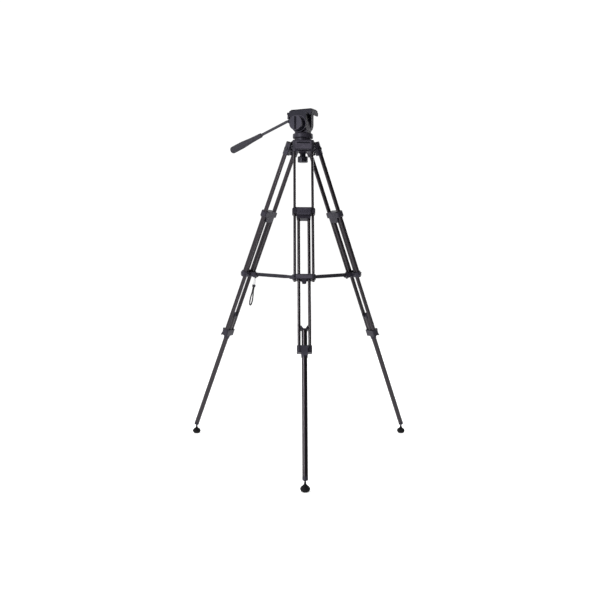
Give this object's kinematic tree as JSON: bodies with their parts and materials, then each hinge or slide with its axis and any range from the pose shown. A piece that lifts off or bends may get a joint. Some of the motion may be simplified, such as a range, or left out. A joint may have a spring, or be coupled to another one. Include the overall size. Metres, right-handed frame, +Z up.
{
  "type": "tripod with fluid head",
  "caption": "Twin-tube video tripod on ball-jointed rubber feet, with a folding mid-level spreader and a fluid head with a pan handle.",
  "frame": {"origin": "on the floor at the centre of the box round the whole tripod, with the pan axis standing 129 mm behind it in +Y", "axes": "+Z up, the front leg runs along -Y, the other two legs at azimuths 30 and 150 degrees, the head looks along azimuth -30 and its handle points along azimuth 150"},
  "size_m": [0.9288, 0.8088, 1.351],
  "materials": {
    "body_plastic": "fine-grained satin black moulding",
    "head_plastic": "smooth satin black moulding",
    "knob_plastic": "semi-gloss black moulding",
    "lever_plastic": "satin black moulding",
    "arm_plastic": "satin dark grey moulding",
    "tube_metal": "dark brownish grey anodised aluminium",
    "rod_metal": "satin black painted rod",
    "steel": "turned steel",
    "dark_steel": "blackened steel bolt heads",
    "foot_rubber": "matte black rubber",
    "grip_rubber": "matte black rubber sleeve",
    "pad_rubber": "ribbed black rubber",
    "strap_cord": "braided dark cord"
  },
  "bodies": {
    "crown": {"crown": "body_plastic", "hinge_bolts": "dark_steel", "pan_base": "body_plastic"},
    "clamp_knob": {"clamp_knob": "knob_plastic"},
    "pan_lock_knob": {"pan_lock_knob": "knob_plastic"},
    "leg_front": {"leg_yoke_front": "body_plastic", "upper_tubes_front": "tube_metal", "spreader_bracket_front": "body_plastic"},
    "middle_front": {"slide_block_front": "body_plastic", "middle_tubes_front": "tube_metal", "lower_clamp_front": "body_plastic"},
    "lower_front": {"tube_guide_front": "body_plastic", "lower_tube_front": "tube_metal", "tube_cap_front": "body_plastic"},
    "foot_front": {"foot_front": "foot_rubber"},
    "upper_lever_front": {"upper_lever_front": "lever_plastic"},
    "lower_lever_front": {"lower_lever_front": "lever_plastic"},
    "arm_front": {"spreader_arm_front": "arm_plastic"},
    "leg_left": {"leg_yoke_left": "body_plastic", "upper_tubes_left": "tube_metal", "spreader_bracket_left": "body_plastic"},
    "middle_left": {"slide_block_left": "body_plastic", "middle_tubes_left": "tube_metal", "lower_clamp_left": "body_plastic"},
    "lower_left": {"tube_guide_left": "body_plastic", "lower_tube_left": "tube_metal", "tube_cap_left": "body_plastic"},
    "foot_left": {"foot_left": "foot_rubber"},
    "upper_lever_left": {"upper_lever_left": "lever_plastic"},
    "lower_lever_left": {"lower_lever_left": "lever_plastic"},
    "arm_left": {"spreader_arm_left": "arm_plastic"},
    "leg_right": {"leg_yoke_right": "body_plastic", "upper_tubes_right": "tube_metal", "spreader_bracket_right": "body_plastic"},
    "middle_right": {"slide_block_right": "body_plastic", "middle_tubes_right": "tube_metal", "lower_clamp_right": "body_plastic"},
    "lower_right": {"tube_guide_right": "body_plastic", "lower_tube_right": "tube_metal", "tube_cap_right": "body_plastic"},
    "foot_right": {"foot_right": "foot_rubber"},
    "upper_lever_right": {"upper_lever_right": "lever_plastic"},
    "lower_lever_right": {"lower_lever_right": "lever_plastic"},
    "arm_right": {"spreader_arm_right": "arm_plastic"},
    "hub": {"spreader_hub": "body_plastic"},
    "strap": {"strap_link": "steel", "strap_knot": "knob_plastic", "strap_cord": "strap_cord"},
    "pan": {"head_column": "body_plastic"},
    "tilt": {"tilt_cradle": "head_plastic", "tilt_shaft": "steel"},
    "tilt_lock_knob": {"tilt_lock_knob": "knob_plastic"},
    "handle": {"handle_bracket": "head_plastic", "handle_rod": "rod_metal", "handle_grip": "grip_rubber"},
    "handle_knob": {"handle_knob": "knob_plastic"},
    "plate": {"camera_plate": "head_plastic", "plate_pad": "pad_rubber"},
    "camera_screw": {"camera_screw": "steel"},
    "plate_lever": {"plate_lever": "knob_plastic"}
  },
  "joints": [
    {"name": "clamp_knob_turn", "type": "hinge", "parent": "crown", "child": "clamp_knob", "pos_m": [0, 0.12914, 1.15716], "axis": [0, 0, 1], "continuous": true},
    {"name": "pan_lock_turn", "type": "hinge", "parent": "crown", "child": "pan_lock_knob", "pos_m": [0.0225, 0.16811, 1.24496], "axis": [0.5, 0.866, 0], "continuous": true},
    {"name": "leg_front_fold", "type": "hinge", "parent": "crown", "child": "leg_front", "pos_m": [0, 0.07694, 1.19716], "axis": [1, 0, 0], "range_deg": [0, 18.9]},
    {"name": "arm_front_fold", "type": "hinge", "parent": "leg_front", "child": "arm_front", "pos_m": [0, -0.08383, 0.70016], "axis": [1, 0, 0], "range_deg": [0, 75.4]},
    {"name": "middle_front_slide", "type": "slide", "parent": "leg_front", "child": "middle_front", "axis": [0, -0.373, -0.9278], "range_m": [-0.215, 0.2]},
    {"name": "lower_front_slide", "type": "slide", "parent": "middle_front", "child": "lower_front", "axis": [0, -0.373, -0.9278], "range_m": [-0.385, 0.045]},
    {"name": "upper_lever_front_open", "type": "hinge", "parent": "middle_front", "child": "upper_lever_front", "pos_m": [0, -0.03823, 0.95731], "axis": [-1, 0, 0], "range_deg": [0, 85]},
    {"name": "lower_lever_front_open", "type": "hinge", "parent": "middle_front", "child": "lower_lever_front", "pos_m": [0, -0.23591, 0.46825], "axis": [-1, 0, 0], "range_deg": [0, 80]},
    {"name": "foot_front_swivel", "type": "hinge", "parent": "lower_front", "child": "foot_front", "pos_m": [0, -0.38743, 0.042], "axis": [1, 0, 0], "range_deg": [-30, 5]},
    {"name": "leg_left_fold", "type": "hinge", "parent": "crown", "child": "leg_left", "pos_m": [-0.04521, 0.15524, 1.19716], "axis": [-0.5, -0.866, 0], "range_deg": [0, 18.9]},
    {"name": "arm_left_fold", "type": "hinge", "parent": "leg_left", "child": "arm_left", "pos_m": [-0.18444, 0.23563, 0.70016], "axis": [-0.5, -0.866, 0], "range_deg": [0, 75.4]},
    {"name": "middle_left_slide", "type": "slide", "parent": "leg_left", "child": "middle_left", "axis": [-0.323, 0.1865, -0.9278], "range_m": [-0.215, 0.2]},
    {"name": "lower_left_slide", "type": "slide", "parent": "middle_left", "child": "lower_left", "axis": [-0.323, 0.1865, -0.9278], "range_m": [-0.385, 0.045]},
    {"name": "upper_lever_left_open", "type": "hinge", "parent": "middle_left", "child": "upper_lever_left", "pos_m": [-0.14495, 0.21283, 0.95731], "axis": [0.5, 0.866, 0], "range_deg": [0, 85]},
    {"name": "lower_lever_left_open", "type": "hinge", "parent": "middle_left", "child": "lower_lever_left", "pos_m": [-0.31614, 0.31167, 0.46825], "axis": [0.5, 0.866, 0], "range_deg": [0, 80]},
    {"name": "foot_left_swivel", "type": "hinge", "parent": "lower_left", "child": "foot_left", "pos_m": [-0.44736, 0.38743, 0.042], "axis": [-0.5, -0.866, 0], "range_deg": [-30, 5]},
    {"name": "leg_right_fold", "type": "hinge", "parent": "crown", "child": "leg_right", "pos_m": [0.04521, 0.15524, 1.19716], "axis": [-0.5, 0.866, 0], "range_deg": [0, 18.9]},
    {"name": "arm_right_fold", "type": "hinge", "parent": "leg_right", "child": "arm_right", "pos_m": [0.18444, 0.23563, 0.70016], "axis": [-0.5, 0.866, 0], "range_deg": [0, 75.4]},
    {"name": "middle_right_slide", "type": "slide", "parent": "leg_right", "child": "middle_right", "axis": [0.323, 0.1865, -0.9278], "range_m": [-0.215, 0.2]},
    {"name": "lower_right_slide", "type": "slide", "parent": "middle_right", "child": "lower_right", "axis": [0.323, 0.1865, -0.9278], "range_m": [-0.385, 0.045]},
    {"name": "upper_lever_right_open", "type": "hinge", "parent": "middle_right", "child": "upper_lever_right", "pos_m": [0.14495, 0.21283, 0.95731], "axis": [0.5, -0.866, 0], "range_deg": [0, 85]},
    {"name": "lower_lever_right_open", "type": "hinge", "parent": "middle_right", "child": "lower_lever_right", "pos_m": [0.31614, 0.31167, 0.46825], "axis": [0.5, -0.866, 0], "range_deg": [0, 80]},
    {"name": "foot_right_swivel", "type": "hinge", "parent": "lower_right", "child": "foot_right", "pos_m": [0.44736, 0.38743, 0.042], "axis": [-0.5, 0.866, 0], "range_deg": [-30, 5]},
    {"name": "hub_slide", "type": "slide", "parent": "crown", "child": "hub", "axis": [0, 0, 1], "range_m": [0, 0.147]},
    {"name": "strap_swing", "type": "hinge", "parent": "leg_left", "child": "strap", "pos_m": [-0.18813, 0.23776, 0.68743], "axis": [0.5, 0.866, 0], "range_deg": [-40, 15]},
    {"name": "pan", "type": "hinge", "parent": "crown", "child": "pan", "pos_m": [0, 0.12914, 1.25546], "axis": [0, 0, 1], "continuous": true},
    {"name": "tilt", "type": "hinge", "parent": "pan", "child": "tilt", "pos_m": [-0.0052, 0.13214, 1.29096], "axis": [-0.5, -0.866, 0], "range_deg": [-60, 40]},
    {"name": "tilt_lock_turn", "type": "hinge", "parent": "tilt", "child": "tilt_lock_knob", "pos_m": [0.0168, 0.17025, 1.29096], "axis": [0.5, 0.866, 0], "continuous": true},
    {"name": "handle_angle", "type": "hinge", "parent": "tilt", "child": "handle", "pos_m": [-0.0227, 0.10183, 1.29096], "axis": [0.5, 0.866, 0], "range_deg": [-30, 60]},
    {"name": "handle_knob_turn", "type": "hinge", "parent": "tilt", "child": "handle_knob", "pos_m": [-0.0292, 0.09057, 1.29096], "axis": [0.5, 0.866, 0], "continuous": true},
    {"name": "plate_slide", "type": "slide", "parent": "tilt", "child": "plate", "axis": [0.866, -0.5, 0], "range_m": [-0.015, 0.015]},
    {"name": "camera_screw_turn", "type": "hinge", "parent": "plate", "child": "camera_screw", "pos_m": [0, 0.12914, 1.33746], "axis": [0, 0, 1], "continuous": true},
    {"name": "plate_lever_open", "type": "hinge", "parent": "tilt", "child": "plate_lever", "pos_m": [-0.0534, 0.14265, 1.33216], "axis": [0.5, 0.866, 0], "range_deg": [0, 75]}
  ],
  "couplings": [
    {"joint": "arm_front_fold", "follows": "leg_front_fold", "ratio": 3.9617},
    {"joint": "leg_left_fold", "follows": "leg_front_fold", "ratio": 1},
    {"joint": "arm_left_fold", "follows": "leg_front_fold", "ratio": 3.9617},
    {"joint": "leg_right_fold", "follows": "leg_front_fold", "ratio": 1},
    {"joint": "arm_right_fold", "follows": "leg_front_fold", "ratio": 3.9617},
    {"joint": "hub_slide", "follows": "leg_front_fold", "m_per_rad": 0.4424}
  ]
}
